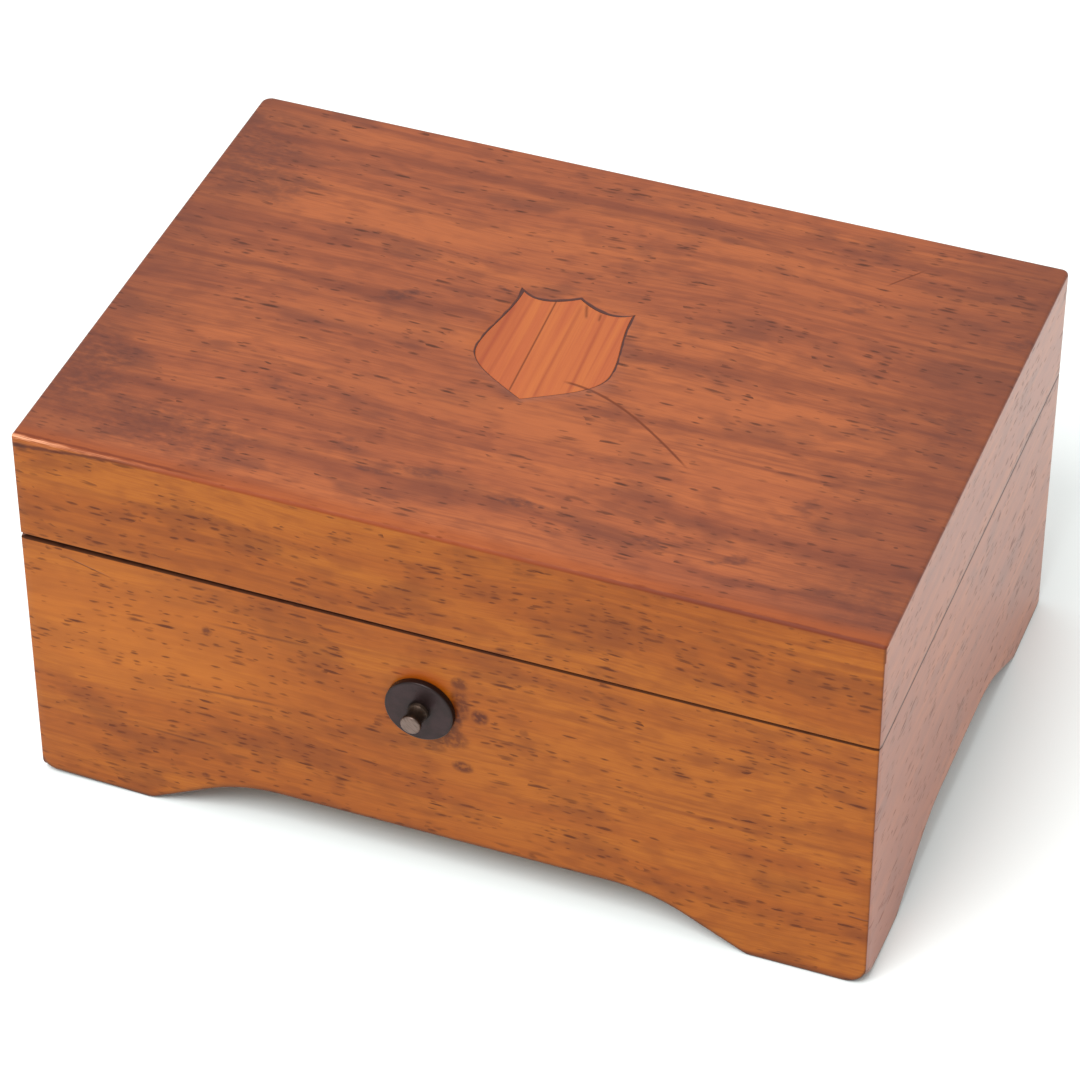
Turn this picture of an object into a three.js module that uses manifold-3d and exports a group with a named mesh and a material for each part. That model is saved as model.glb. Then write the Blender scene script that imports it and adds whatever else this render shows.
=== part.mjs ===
// A small wooden music box: a flat lid, framed and panelled, over a body of four mitred boards.
// The lower edge of each board is sawn to a shallow shaped arch, which leaves four bracket feet.
// Millimetres, +Z up, length along X, front towards -Y.
// The origin is the middle of the overall footprint, with the stem on the front counted in,
// on the surface that the feet stand on.

import * as THREE from 'three';
import { mergeVertices } from 'three/addons/utils/BufferGeometryUtils.js';
import Module from 'manifold-3d';

// Overall sizes
const BOX_LENGTH = 125;
const BOX_DEPTH = 87.4;
const BODY_HEIGHT = 44;
const LID_HEIGHT = 18;

// Boards
const BODY_BOARD = 6;
const LID_BOARD = 6;
const LID_PANEL = 3;
const FLOOR_BOARD = 4;
const FLOOR_ABOVE_ARCH = 0.8;

// Thickness of a glue line, kept open between pieces that are joined or that rest on each other
const GLUE_LINE = 0.1;

// Eased edges: upright corners seen from above, top edge of the lid, both edges at the seam
const CORNER_RADIUS = 2;
const LID_EDGE_RADIUS = 0.9;
const SEAM_EDGE_RADIUS = 0.35;
const FOOT_CORNER_RADIUS = 2.5;

// Shaped lower edge: rise of the arch, width of a foot from the corner to its toe,
// the round over the toe, the slope above it and the hollow shoulder under the flat
const ARCH_RISE = 7.2;
const FRONT_FOOT_WIDTH = 16.7;
const SIDE_FOOT_WIDTH = 13.7;
const TOE_RADIUS = 3;
const ARCH_SLOPE_DEGREES = 26.6;
const SHOULDER_RADIUS = 25;

// Shield inlay, measured from a centre that lies a little left of and behind the lid's centre
const SHIELD_X = -0.35;
const SHIELD_Y = 0.4;
const SHIELD_TOP_WIDTH = 16.4;
const SHIELD_WIDTH = 19.8;
const SHIELD_CREST = 12.1;
const SHIELD_HORN = 11;
const SHIELD_DIP = 10;
const SHIELD_BULGE = -2.6;
const SHIELD_POINT = -12.2;
const SHIELD_THICKNESS = 1.2;
const SHIELD_GAP = 0.3;

// Stem on the front, and the disc that it passes through
const STEM_X = -2.7;
const STEM_BELOW_RIM = 12.9;
const STEM_DIAMETER = 3;
const STEM_NECK_DIAMETER = 2.5;
const STEM_COLLAR = 0.5;
const STEM_HEAD = 0.9;
const STEM_REACH = 3.2;
const STEM_CHAMFER = 0.2;
const STEM_CLEARANCE = 0.1;
const DISC_DIAMETER = 10.1;
const DISC_THICKNESS = 1;
const DISC_EDGE_RADIUS = 0.2;

// Worked out from the sizes above
const TOP = BODY_HEIGHT + LID_HEIGHT;
const LID_UNDERSIDE = BODY_HEIGHT + GLUE_LINE;
const PANEL_UNDERSIDE = TOP - LID_PANEL;
const FRONT_FACE = -BOX_DEPTH / 2;
const STEM_Z = BODY_HEIGHT - STEM_BELOW_RIM;
const STEM_TIP = GLUE_LINE + DISC_THICKNESS + STEM_REACH;
const SLOPE_ANGLE = THREE.MathUtils.degToRad(ARCH_SLOPE_DEGREES);

// A cutting form runs past the stock by this much, so that no faces meet
const OVERCUT = 1;
const ARC_STEPS = 6;
const ROUND_SIDES = 32;

const wasm = await Module();
wasm.setup();

// Closed geometry to solid and back, for the joins and cuts.
function solid(geometry) {
  const bare = geometry.clone();
  bare.deleteAttribute('normal');
  bare.deleteAttribute('uv');
  const merged = mergeVertices(bare, 1e-5);
  return new wasm.Manifold(new wasm.Mesh({
    numProp: 3,
    vertProperties: new Float32Array(merged.attributes.position.array),
    triVerts: new Uint32Array(merged.index.array),
  }));
}

function geometryOf(body) {
  const mesh = body.getMesh();
  const geometry = new THREE.BufferGeometry();
  geometry.setAttribute('position', new THREE.BufferAttribute(mesh.vertProperties, 3));
  geometry.setIndex(new THREE.BufferAttribute(mesh.triVerts, 1));
  geometry.computeVertexNormals();
  return geometry;
}

// An upright prism on a plan outline, from one height to another.
function prism(shape, from, to) {
  const options = { depth: to - from, bevelEnabled: false, curveSegments: ARC_STEPS };
  return new THREE.ExtrudeGeometry(shape, options).translate(0, 0, from);
}

// The whole footprint between two heights, with its upright corners rounded
// and both of its level edges eased to a radius.
function easedBlock(from, to, edgeRadius) {
  const radius = Math.min(edgeRadius, CORNER_RADIUS - 0.01);
  const x = BOX_LENGTH / 2;
  const y = BOX_DEPTH / 2;
  const shape = new THREE.Shape();
  shape.absarc(x - CORNER_RADIUS, y - CORNER_RADIUS, CORNER_RADIUS, 0, Math.PI / 2);
  shape.absarc(CORNER_RADIUS - x, y - CORNER_RADIUS, CORNER_RADIUS, Math.PI / 2, Math.PI);
  shape.absarc(CORNER_RADIUS - x, CORNER_RADIUS - y, CORNER_RADIUS, Math.PI, 1.5 * Math.PI);
  shape.absarc(x - CORNER_RADIUS, CORNER_RADIUS - y, CORNER_RADIUS, 1.5 * Math.PI, 2 * Math.PI);
  return new THREE.ExtrudeGeometry(shape, {
    depth: to - from - 2 * radius,
    bevelThickness: radius,
    bevelSize: radius,
    bevelOffset: -radius,
    bevelSegments: 3,
    curveSegments: ARC_STEPS,
  }).translate(0, 0, from + radius);
}

// Plan of one board of a mitred frame: outer face at -depth / 2, mitres at 45 degrees,
// each held back by half a glue line.
function mitredPlan(length, depth, thickness) {
  const back = GLUE_LINE / Math.SQRT2;
  const outer = length / 2 + OVERCUT - back;
  const inner = length / 2 - thickness - back;
  return new THREE.Shape([
    new THREE.Vector2(-outer, -depth / 2 - OVERCUT),
    new THREE.Vector2(outer, -depth / 2 - OVERCUT),
    new THREE.Vector2(inner, -depth / 2 + thickness),
    new THREE.Vector2(-inner, -depth / 2 + thickness),
  ]);
}

// The four boards of a frame, as front, right, back and left prisms.
function mitredFrame(thickness, from, to) {
  const along = prism(mitredPlan(BOX_LENGTH, BOX_DEPTH, thickness), from, to);
  const across = prism(mitredPlan(BOX_DEPTH, BOX_LENGTH, thickness), from, to);
  return {
    front: along,
    right: across.clone().rotateZ(Math.PI / 2),
    back: along.clone().rotateZ(Math.PI),
    left: across.clone().rotateZ(-Math.PI / 2),
  };
}

// Points of the sawn edge from the toe of a foot inwards, as distance from the toe and height:
// the round over the toe, the straight slope, then the hollow shoulder up to the flat.
function archCurve() {
  const points = [];
  for (let i = 0; i <= 2; i += 1) {
    const angle = SLOPE_ANGLE * i / 2;
    points.push([TOE_RADIUS * Math.sin(angle), TOE_RADIUS * (1 - Math.cos(angle))]);
  }
  const [toeRun, toeRise] = points[points.length - 1];
  const shoulderRise = SHOULDER_RADIUS * (1 - Math.cos(SLOPE_ANGLE));
  const slopeRun = (ARCH_RISE - toeRise - shoulderRise) / Math.tan(SLOPE_ANGLE);
  const run = toeRun + slopeRun + SHOULDER_RADIUS * Math.sin(SLOPE_ANGLE);
  for (let i = ARC_STEPS; i >= 0; i -= 1) {
    const angle = SLOPE_ANGLE * i / ARC_STEPS;
    points.push([
      run - SHOULDER_RADIUS * Math.sin(angle),
      ARCH_RISE - SHOULDER_RADIUS * (1 - Math.cos(angle)),
    ]);
  }
  return points;
}

// Elevation of a board with its two feet, seen square on. Where an opening is short,
// the two curves meet in its middle before they reach the flat.
function footedElevation(length, footWidth) {
  const half = length / 2;
  const toe = half - footWidth;
  const rise = archCurve().filter(([run]) => run < toe);
  const shape = new THREE.Shape();
  shape.moveTo(-half - OVERCUT, BODY_HEIGHT + OVERCUT);
  shape.lineTo(-half - OVERCUT, FOOT_CORNER_RADIUS);
  shape.lineTo(-half, FOOT_CORNER_RADIUS);
  shape.absarc(FOOT_CORNER_RADIUS - half, FOOT_CORNER_RADIUS, FOOT_CORNER_RADIUS,
    Math.PI, 1.5 * Math.PI);
  rise.forEach(([run, height]) => shape.lineTo(run - toe, height));
  rise.reverse().forEach(([run, height]) => shape.lineTo(toe - run, height));
  shape.absarc(half - FOOT_CORNER_RADIUS, FOOT_CORNER_RADIUS, FOOT_CORNER_RADIUS,
    1.5 * Math.PI, 2 * Math.PI);
  shape.lineTo(half + OVERCUT, FOOT_CORNER_RADIUS);
  shape.lineTo(half + OVERCUT, BODY_HEIGHT + OVERCUT);
  return shape;
}

// That elevation carried through the whole box, looking along Y or along X.
function elevationThrough(shape, distance) {
  const options = { depth: distance + 2 * OVERCUT, bevelEnabled: false, curveSegments: ARC_STEPS };
  return new THREE.ExtrudeGeometry(shape, options)
    .translate(0, 0, -distance / 2 - OVERCUT)
    .rotateX(Math.PI / 2);
}

// Outline of the shield about its own centre: a crest with a hollow on each side,
// waisted flanks that swell below the middle, and a point towards the front.
function shieldOutline() {
  const top = SHIELD_TOP_WIDTH / 2;
  const wide = SHIELD_WIDTH / 2;
  const dip = 2 * SHIELD_DIP - (SHIELD_CREST + SHIELD_HORN) / 2;
  const flank = (SHIELD_HORN - SHIELD_BULGE) / 3;
  const tail = (SHIELD_BULGE - SHIELD_POINT) / 2.4;
  const shape = new THREE.Shape();
  shape.moveTo(0, SHIELD_CREST);
  shape.quadraticCurveTo(-0.62 * top, dip, -top, SHIELD_HORN);
  shape.bezierCurveTo(-top, SHIELD_HORN - 1.3 * flank, -wide, SHIELD_BULGE + flank,
    -wide, SHIELD_BULGE);
  shape.bezierCurveTo(-wide, SHIELD_BULGE - tail, -0.64 * wide, SHIELD_POINT + 0.95 * tail,
    0, SHIELD_POINT);
  shape.bezierCurveTo(0.64 * wide, SHIELD_POINT + 0.95 * tail, wide, SHIELD_BULGE - tail,
    wide, SHIELD_BULGE);
  shape.bezierCurveTo(wide, SHIELD_BULGE + flank, top, SHIELD_HORN - 1.3 * flank,
    top, SHIELD_HORN);
  shape.quadraticCurveTo(0.62 * top, dip, 0, SHIELD_CREST);
  return shape;
}

// The shield as a plate of some thickness, its outline grown by a margin all round.
function shieldPlate(thickness, margin) {
  return new THREE.ExtrudeGeometry(shieldOutline(), {
    depth: thickness,
    bevelSegments: 0,
    bevelThickness: 0,
    bevelSize: 0,
    bevelOffset: margin,
    curveSegments: ARC_STEPS,
  }).translate(SHIELD_X, SHIELD_Y, 0);
}

// A turned piece from its profile of radius and height, standing out from the front face
// with its axis level.
function turnedOnFront(profile) {
  const points = profile.map(([radius, height]) => new THREE.Vector2(radius, height));
  return new THREE.LatheGeometry(points, ROUND_SIDES)
    .rotateX(Math.PI)
    .translate(STEM_X, FRONT_FACE, STEM_Z);
}

const VARNISH = { roughness: 0.42, metalness: 0 };
const materials = {
  panel: new THREE.MeshStandardMaterial({ color: 0xb4623e, ...VARNISH }),
  front: new THREE.MeshStandardMaterial({ color: 0xb66e3c, ...VARNISH }),
  side: new THREE.MeshStandardMaterial({ color: 0xa8663f, ...VARNISH }),
  floor: new THREE.MeshStandardMaterial({ color: 0xb58a5c, roughness: 0.75, metalness: 0 }),
  shield: new THREE.MeshStandardMaterial({ color: 0xcd7341, roughness: 0.4, metalness: 0 }),
  disc: new THREE.MeshStandardMaterial({ color: 0x423636, roughness: 0.55, metalness: 0.6 }),
  steel: new THREE.MeshStandardMaterial({ color: 0x82736e, roughness: 0.45, metalness: 1 }),
};

function piece(name, geometry, material) {
  const mesh = new THREE.Mesh(geometry, material);
  mesh.name = name;
  return mesh;
}

// Body: four boards, each its share of the rounded block and of the elevation with feet
function bodyBoards() {
  const block = solid(easedBlock(-OVERCUT, BODY_HEIGHT, SEAM_EDGE_RADIUS));
  const frame = mitredFrame(BODY_BOARD, -OVERCUT, BODY_HEIGHT + OVERCUT);
  const fromFront = elevationThrough(footedElevation(BOX_LENGTH, FRONT_FOOT_WIDTH), BOX_DEPTH);
  const fromSide = elevationThrough(footedElevation(BOX_DEPTH, SIDE_FOOT_WIDTH), BOX_LENGTH)
    .rotateZ(Math.PI / 2);
  const boreRadius = STEM_DIAMETER / 2 + STEM_CLEARANCE;
  const boreLength = 2 * (BODY_BOARD + OVERCUT);
  const bore = new THREE.CylinderGeometry(boreRadius, boreRadius, boreLength, ROUND_SIDES)
    .translate(STEM_X, FRONT_FACE, STEM_Z);
  const cut = (side, elevation) => block.intersect(solid(frame[side])).intersect(solid(elevation));
  return [
    piece('body_front', geometryOf(cut('front', fromFront).subtract(solid(bore))), materials.front),
    piece('body_right', geometryOf(cut('right', fromSide)), materials.side),
    piece('body_back', geometryOf(cut('back', fromFront)), materials.front),
    piece('body_left', geometryOf(cut('left', fromSide)), materials.side),
  ];
}

// Floor of the box, let in between the boards just above the arches
function bottomBoard() {
  const inset = 2 * (BODY_BOARD + GLUE_LINE);
  const height = ARCH_RISE + FLOOR_ABOVE_ARCH + FLOOR_BOARD / 2;
  const board = new THREE.BoxGeometry(BOX_LENGTH - inset, BOX_DEPTH - inset, FLOOR_BOARD);
  return piece('bottom_board', board.translate(0, 0, height), materials.floor);
}

// Lid: the same rounded footprint, eased finely at the seam and more at the top
function lidBlock() {
  const seamEased = easedBlock(LID_UNDERSIDE, TOP + LID_HEIGHT, SEAM_EDGE_RADIUS);
  const topEased = easedBlock(LID_UNDERSIDE - LID_HEIGHT, TOP, LID_EDGE_RADIUS);
  return solid(seamEased).intersect(solid(topEased));
}

function lidPieces() {
  const block = lidBlock();
  const frame = mitredFrame(LID_BOARD, LID_UNDERSIDE - OVERCUT, PANEL_UNDERSIDE - GLUE_LINE);
  const rail = (side, material) => piece(`lid_${side}`,
    geometryOf(block.intersect(solid(frame[side]))), material);
  const sheet = new THREE.BoxGeometry(BOX_LENGTH + OVERCUT, BOX_DEPTH + OVERCUT, 2 * LID_PANEL)
    .translate(0, 0, TOP);
  const recessDepth = SHIELD_THICKNESS + GLUE_LINE;
  const recess = shieldPlate(recessDepth + OVERCUT, SHIELD_GAP).translate(0, 0, TOP - recessDepth);
  const panel = block.intersect(solid(sheet)).subtract(solid(recess));
  return [
    piece('lid_panel', geometryOf(panel), materials.panel),
    rail('front', materials.front),
    rail('right', materials.side),
    rail('back', materials.front),
    rail('left', materials.side),
  ];
}

function shieldInlay() {
  const plate = shieldPlate(SHIELD_THICKNESS, 0).translate(0, 0, TOP - SHIELD_THICKNESS);
  return piece('shield_inlay', plate, materials.shield);
}

// Disc: a flat washer lying on the front board around the stem
function stemDisc() {
  const hole = STEM_DIAMETER / 2 + STEM_CLEARANCE;
  const radius = DISC_DIAMETER / 2;
  const face = GLUE_LINE + DISC_THICKNESS;
  const profile = [
    [hole, GLUE_LINE],
    [radius, GLUE_LINE],
    [radius, face - DISC_EDGE_RADIUS],
    [radius - DISC_EDGE_RADIUS, face],
    [hole, face],
    [hole, GLUE_LINE],
  ];
  return piece('stem_disc', turnedOnFront(profile), materials.disc);
}

// Stem: a steel pin through the board, with a short collar at the disc, a thinner neck
// and a head that is worn bright
function stem() {
  const radius = STEM_DIAMETER / 2;
  const neck = STEM_NECK_DIAMETER / 2;
  const collarTop = GLUE_LINE + DISC_THICKNESS + STEM_COLLAR;
  const profile = [
    [0, -BODY_BOARD],
    [radius, -BODY_BOARD],
    [radius, collarTop],
    [neck, collarTop + (radius - neck)],
    [neck, STEM_TIP - STEM_HEAD - (radius - neck)],
    [radius, STEM_TIP - STEM_HEAD],
    [radius, STEM_TIP - STEM_CHAMFER],
    [radius - STEM_CHAMFER, STEM_TIP],
    [0, STEM_TIP],
  ];
  return piece('stem', turnedOnFront(profile), materials.steel);
}

// The pieces are placed about the middle of the boards, and half the stem's reach to the front
// brings the middle of the whole to the origin.
const musicBox = new THREE.Group();
musicBox.name = 'music_box';
musicBox.position.y = STEM_TIP / 2;
musicBox.add(...bodyBoards(), bottomBoard(), ...lidPieces(), shieldInlay(), stemDisc(), stem());

export default musicBox;
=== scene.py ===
# %% [markdown]
# # A small varnished music box
#
# The object is a wooden box about 125 mm long with a flat lid, a shield let into the top,
# a sawn arch under each side and a steel stem through a dark disc on the front.
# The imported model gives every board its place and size. This file dresses it: boards with
# softened edges, an inlay in its filler, turned metal, and a varnished wood worked out in nodes.

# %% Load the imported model
import math

import bmesh
import bpy
import numpy as np
from mathutils import Matrix, Vector


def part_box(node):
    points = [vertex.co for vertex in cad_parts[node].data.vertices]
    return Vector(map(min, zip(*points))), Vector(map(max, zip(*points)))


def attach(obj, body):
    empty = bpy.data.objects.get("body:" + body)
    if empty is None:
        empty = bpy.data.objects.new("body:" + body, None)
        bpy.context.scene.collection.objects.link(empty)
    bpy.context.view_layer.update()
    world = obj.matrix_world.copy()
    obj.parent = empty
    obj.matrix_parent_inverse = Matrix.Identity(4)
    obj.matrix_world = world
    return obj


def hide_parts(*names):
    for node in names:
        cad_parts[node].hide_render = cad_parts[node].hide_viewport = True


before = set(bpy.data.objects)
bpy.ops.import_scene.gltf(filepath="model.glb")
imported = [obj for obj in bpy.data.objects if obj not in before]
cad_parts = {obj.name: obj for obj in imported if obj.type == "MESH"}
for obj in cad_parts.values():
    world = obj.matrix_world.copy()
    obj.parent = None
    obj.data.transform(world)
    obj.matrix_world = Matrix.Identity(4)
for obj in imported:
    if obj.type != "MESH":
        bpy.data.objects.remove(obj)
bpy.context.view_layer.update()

MM = 0.001
print("pieces in the frame:", len(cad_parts))

# %% [markdown]
# Every length is in metres and comes from the frame where it can: length, depth and top from the
# lid panel, the seam from the front board, and centre and reach from the disc and the stem. The
# finishes work in millimetres, so the sizes that they need are kept in millimetres too.

# %% Sizes read from the frame
panel_low, panel_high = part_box("lid_panel")
RIM_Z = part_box("body_front")[1].z
LID_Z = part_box("lid_front")[0].z
disc_low, disc_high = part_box("stem_disc")
stem_low, stem_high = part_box("stem")
shield_low, shield_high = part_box("shield_inlay")

TOP = panel_high.z
PANEL_UNDERSIDE = panel_low.z
HALF_LENGTH = (panel_high.x - panel_low.x) / 2
HALF_DEPTH = (panel_high.y - panel_low.y) / 2
CENTRE_Y = (panel_high.y + panel_low.y) / 2
FRONT = panel_low.y
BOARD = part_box("body_left")[1].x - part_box("body_left")[0].x
STEM_X = (disc_low.x + disc_high.x) / 2
STEM_Z = (disc_low.z + disc_high.z) / 2
SHIELD_X = (shield_low.x + shield_high.x) / 2
SHIELD_THICK = shield_high.z - shield_low.z
SHIELD_HALF = (shield_high.x - shield_low.x) / 2
STEM_RADIUS = (stem_high.x - stem_low.x) / 2
STEM_TIP = FRONT - stem_low.y
DISC_RADIUS = (disc_high.x - disc_low.x) / 2
DISC_FACE = FRONT - disc_low.y
HALF_LENGTH_MM = HALF_LENGTH / MM
HALF_DEPTH_MM = HALF_DEPTH / MM
CENTRE_Y_MM = CENTRE_Y / MM
TOP_MM = TOP / MM
print("box", HALF_LENGTH * 2, HALF_DEPTH * 2, TOP, "rim", round(RIM_Z, 4), "lid", round(LID_Z, 4))

# %% [markdown]
# The picture is taken from above the front right corner with a long lens. The camera looks along
# an azimuth and an elevation and stands a little off the line through the middle of the box,
# which sets the framing. Its lens comes from the focal length in pixels of the frame.

# %% Camera
AZIMUTH, ELEVATION, ROLL = (math.radians(angle) for angle in (20.835, 39.852, -0.117))
CAMERA_DISTANCE = 0.65036
CAMERA_RIGHT = -0.00175
CAMERA_UP = -0.002675
FOCAL_PIXELS = 4521.6
FRAME_PIXELS = 1080
SENSOR_MM = 36


def added(name, data):
    """A new object of this name and data, put into the scene."""
    made = bpy.data.objects.new(name, data)
    bpy.context.scene.collection.objects.link(made)
    return made


def place_camera():
    """Camera axes are back, right and up; roll turns right and up about the line of sight."""
    back = Vector((math.sin(AZIMUTH) * math.cos(ELEVATION),
                   -math.cos(AZIMUTH) * math.cos(ELEVATION),
                   math.sin(ELEVATION)))
    right = Vector((0, 0, 1)).cross(back).normalized()
    up = back.cross(right)
    rolled_right = right * math.cos(ROLL) + up * math.sin(ROLL)
    rolled_up = up * math.cos(ROLL) - right * math.sin(ROLL)
    centre = Vector((0, CENTRE_Y, TOP / 2))
    place = centre + back * CAMERA_DISTANCE + rolled_right * CAMERA_RIGHT + rolled_up * CAMERA_UP
    lens = bpy.data.cameras.new("camera")
    lens.sensor_width = SENSOR_MM
    lens.lens = FOCAL_PIXELS / FRAME_PIXELS * SENSOR_MM
    camera = added("camera", lens)
    axes = Matrix((rolled_right, rolled_up, back)).transposed().to_4x4()
    camera.matrix_world = Matrix.Translation(place) @ axes
    bpy.context.scene.camera = camera
    return camera


camera = place_camera()
print("camera at", [round(v, 4) for v in camera.matrix_world.translation])

# %% [markdown]
# Shader maths reads best as arithmetic. A Signal wraps one output of a node, and adding,
# multiplying or raising it adds the Math node that does so. A Finish is a material under
# construction: its `node` method adds any node from its type, its settings and its inputs, and
# its `coat` method lays one more colour over what is there.

# %% Arithmetic for shaders


class Signal:
    """A value inside a material; the usual operators on it add Math nodes."""

    def __init__(self, finish, socket):
        self.finish = finish
        self.socket = socket

    def __add__(self, other):
        return self.finish.math("ADD", self, other)

    def __sub__(self, other):
        return self.finish.math("SUBTRACT", self, other)

    def __rsub__(self, other):
        return self.finish.math("SUBTRACT", other, self)

    def __mul__(self, other):
        return self.finish.math("MULTIPLY", self, other)

    def __truediv__(self, other):
        return self.finish.math("DIVIDE", self, other)

    def __pow__(self, other):
        return self * self if other == 2 else self.finish.math("POWER", self, other)

    def __abs__(self):
        return self.finish.math("ABSOLUTE", self)

    __radd__ = __add__
    __rmul__ = __mul__


class Finish:
    """A material under construction; its colour starts as ground and is coated over."""

    def __init__(self, name, ground):
        self.material = bpy.data.materials.new(name)
        self.material.use_nodes = True
        self.tree = self.material.node_tree
        self.tree.nodes.clear()
        self.colour = ground

    def node(self, kind, settings=None, inputs=None, output=0):
        """Adds a node of a kind with its settings and socket values; gives one output or more."""
        made = self.tree.nodes.new("ShaderNode" + kind)
        for key, value in (settings or {}).items():
            setattr(made, key, value)
        for key, value in (inputs or {}).items():
            if isinstance(value, Signal):
                self.tree.links.new(value.socket, made.inputs[key])
            else:
                made.inputs[key].default_value = value
        if isinstance(output, tuple):
            return [Signal(self, made.outputs[key]) for key in output]
        return Signal(self, made.outputs[output]) if made.outputs else made

    def math(self, operation, *values):
        return self.node("Math", {"operation": operation}, dict(enumerate(values)))

    def mix(self, share, first, second):
        """A colour between two, from 0, all first, to 1, all second."""
        return self.node("Mix", {"data_type": "RGBA"}, {0: share, 6: first, 7: second}, 2)

    def coat(self, share, tint):
        """Covers a share of the colour, from 0 to 1, with a tint."""
        self.colour = self.mix(share, self.colour, tint)

    def most(self, first, second):
        return self.math("MAXIMUM", first, second)

    def kept(self, name):
        """A value that the mesh keeps at its points."""
        return self.node("Attribute", {"attribute_name": name}, output=2)

    def ease(self, value, start, end):
        """Rises from 0 at start to 1 at end in an S curve, and falls where start is the larger."""
        return self.node("MapRange", {"interpolation_type": "SMOOTHSTEP"},
                         {0: value, 1: start, 2: end})

    def place(self):
        """Object coordinates x, y and z in millimetres."""
        point = self.node("TexCoord", output=3)
        scaled = self.node("VectorMath", {"operation": "SCALE"}, {0: point, 3: 1 / MM})
        return self.node("SeparateXYZ", inputs={0: scaled}, output=(0, 1, 2))

    def noise(self, x, y, size, detail=2.0, rough=0.5):
        """Soft flat noise at x, y, its patches size[0] by size[1] millimetres. A distance added
        to x beforehand gives a second pattern of the same kind."""
        point = self.node("CombineXYZ", inputs={0: x * (1 / size[0]), 1: y * (1 / size[1])})
        return self.node("TexNoise", {"noise_dimensions": "2D"},
                         {"Vector": point, "Scale": 1.0, "Detail": detail, "Roughness": rough})

    def surface(self, roughness, height=None, depth=0.06, shine=0.5, **constants):
        """Ends the material in one principled shader; height is in units of depth millimetres."""
        inputs = {"Base Color": self.colour, "Roughness": roughness,
                  "Specular IOR Level": shine, **constants}
        if height is not None:
            inputs["Normal"] = self.node("Bump", inputs={"Strength": 1.0, "Distance": depth * MM,
                                                         "Height": height})
        shader = self.node("BsdfPrincipled", inputs=inputs)
        self.node("OutputMaterial", inputs={0: shader})
        print("material", self.material.name, len(self.tree.nodes), "nodes")
        return self.material


def paint(red, green, blue):
    """A colour as a screen shows it, 0 to 255, in the linear light that the shader works in."""
    shares = [value / 255 for value in (red, green, blue)]
    return (*[s / 12.92 if s <= 0.04045 else ((s + 0.055) / 1.055) ** 2.4 for s in shares], 1.0)


# %% [markdown]
# The wood is a warm orange brown with slow bands of darker heartwood, thin fibres, and many
# short dark pores that lie along the grain and gather in patches. Each of these is noise
# stretched along the grain, whose size in millimetres is its length and its width. The pores are
# two patterns of cells, fine and bold, of which only some carry a dark dash in the middle, frayed
# along the fibres. Where the pores crowd, the varnish over them has gone smoky.

# %% Wood figure
SLANT = 0.37
FINE_CELL = (2.6, 0.72)
BOLD_CELL = (5.0, 1.0)


def pores(finish, grain, side, cell, share, ragged):
    """Dashes: the middle of each cell of a stretched cell pattern, in a share of the cells.
    Every cell has its own chance, size and darkness; ragged frays the dash along the fibres."""
    point = finish.node("CombineXYZ", inputs={0: grain * (1 / cell[0]), 1: side * (1 / cell[1])})
    distance, chance = finish.node("TexVoronoi", {"voronoi_dimensions": "2D"},
                                   {"Vector": point, "Scale": 1.0}, (0, 1))
    pick, size, deep = finish.node("SeparateColor", inputs={0: chance}, output=(0, 1, 2))
    reach = size * 0.26 + 0.2
    shape = finish.ease(distance / reach + ragged, 1.0, 0.35)
    return shape * finish.math("LESS_THAN", pick, share) * (deep * 0.6 + 0.4)


def wood(finish, grain, side, depth, paints, crowd, plenty):
    """Coats a finish whose ground is the lightest paint with wood, and gives the wood's relief
    and its dashes. grain runs along the fibres, side across the face and depth into it. The
    number of dashes grows where crowd is above 0 and everywhere with plenty."""
    light, ground, dark, smoke, pore = paints
    side = side + depth * SLANT
    wander = finish.noise(grain, side, (40, 16), detail=0.0)
    side = side + wander * 3.0
    broad = finish.noise(grain, side, (60, 6.5), 1.0, 0.55)
    bands = finish.noise(grain, side, (90, 1.7), 2.0, 0.6)
    flame = finish.noise(grain, side, (14, 0.8), 2.0, 0.7)
    fibre = finish.noise(grain, side, (5, 0.3), 2.0, 0.65)
    mottle = finish.noise(grain, side, (6, 3), 2.0, 0.6)
    patch = finish.noise(grain + 126.0, side, (14, 6), 2.0, 0.6)
    crowded = finish.ease(patch + crowd * 0.12, 0.42, 0.64)

    finish.coat(finish.ease(broad, 0.36, 0.62), ground)
    finish.coat(finish.ease(bands, 0.46, 0.74) * 0.42, dark)
    finish.coat(finish.ease(flame, 0.48, 0.72) * 0.26, dark)
    finish.coat(finish.ease(flame, 0.48, 0.3) * 0.2, light)
    finish.coat(finish.ease(mottle, 0.45, 0.72) * 0.35, dark)
    finish.coat(finish.ease(fibre, 0.36, 0.7) * 0.22, dark)

    ragged = (fibre - 0.45) * 1.6
    fine = pores(finish, grain, side, FINE_CELL, (crowded * 0.4 + 0.06) * plenty, ragged)
    bold = pores(finish, grain + 31.0, side, BOLD_CELL, (crowded * 0.18 + 0.02) * plenty, ragged)
    dash = finish.most(fine * 0.85, bold)
    finish.coat(finish.ease(patch + crowd * 0.1, 0.52, 0.75) * 0.4, smoke)
    finish.coat(dash * 0.9, pore)
    return fibre * 0.15, dash


# %% [markdown]
# Marks that time left are placed one by one, each as a soft patch: an ellipse, or a line with
# a half width. A patch is 1 in its middle and fades to 0 at its edge.

# %% Marks on a surface
MARK_CORE = 0.1


def spot(finish, a, b, centre, reach, core=0.0):
    """A soft ellipse about a centre, in the two coordinates a and b. With q the sum of the squares
    of distance / reach, it is 1 up to q = core and fades to 0 at q = 1."""
    away = ((a - centre[0]) / reach[0]) ** 2 + ((b - centre[1]) / reach[1]) ** 2
    return finish.ease(away, 1.0, core)


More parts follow.
